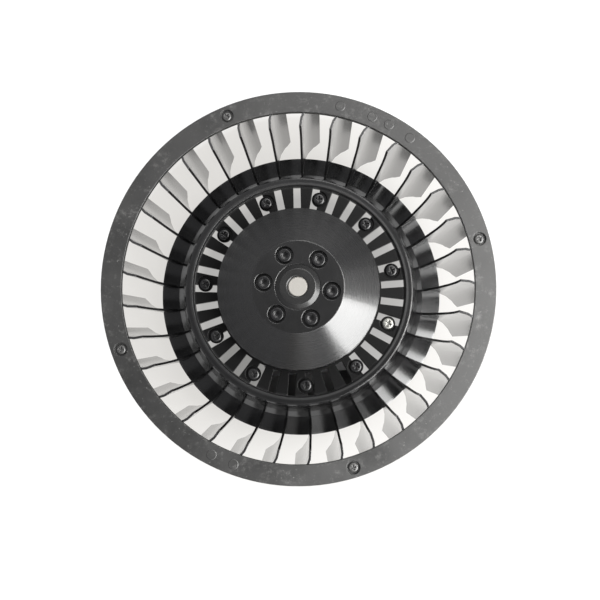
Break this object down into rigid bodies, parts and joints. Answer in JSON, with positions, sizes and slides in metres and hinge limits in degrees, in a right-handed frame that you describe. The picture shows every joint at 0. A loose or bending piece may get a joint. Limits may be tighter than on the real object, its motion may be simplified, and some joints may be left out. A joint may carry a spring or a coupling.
{
  "type": "centrifugal fan",
  "caption": "Motorised centrifugal fan wheel with swept blades between an inlet ring and a slotted hub dish, on an external rotor motor.",
  "frame": {"origin": "centre of the motor's mounting face, which is the lowest face", "axes": "+Z along the axis of rotation, out of the air inlet; the lead's grommet points 5 degrees from -Y towards +X"},
  "size_m": [0.24, 0.24, 0.096],
  "materials": {
    "ring": "satin dark grey moulded plastic",
    "wheel": "black moulded plastic, half gloss",
    "shell": "turned steel with a gloss black coat",
    "black_screws": "black oxide steel",
    "plated_screw": "zinc plated",
    "hub": "blackened turned steel",
    "shaft": "ground steel",
    "steel": "bright steel",
    "magnet": "sintered, dark grey",
    "bracket": "die cast, as cast",
    "core": "stacked laminations",
    "insulator": "natural moulded plastic",
    "copper": "enamelled winding wire",
    "board": "coated circuit board",
    "cover": "black moulded plastic",
    "grommet": "black rubber"
  },
  "bodies": {
    "wheel": {"inlet_ring": "ring", "blade_wheel": "wheel", "ring_screws": "black_screws", "wheel_screws": "black_screws", "plated_screw": "plated_screw", "rotor_shell": "shell", "hub_screws": "black_screws", "shaft_hub": "hub", "motor_shaft": "shaft", "rotor_magnets": "magnet", "bearing_spacer": "steel", "shaft_clip": "steel"},
    "stator": {"motor_bracket": "bracket", "stator_core": "core", "front_insulator": "insulator", "rear_insulator": "insulator", "stator_coils": "copper", "front_bearing": "steel", "rear_bearing": "steel", "preload_washer": "steel", "circuit_board": "board", "board_screws": "steel", "lead_cover": "cover", "lead_grommet": "grommet", "rear_cap": "steel"}
  },
  "joints": [
    {"name": "wheel_spin", "type": "hinge", "parent": "stator", "child": "wheel", "pos_m": [0, 0, 0], "axis": [0, 0, 1], "continuous": true}
  ]
}
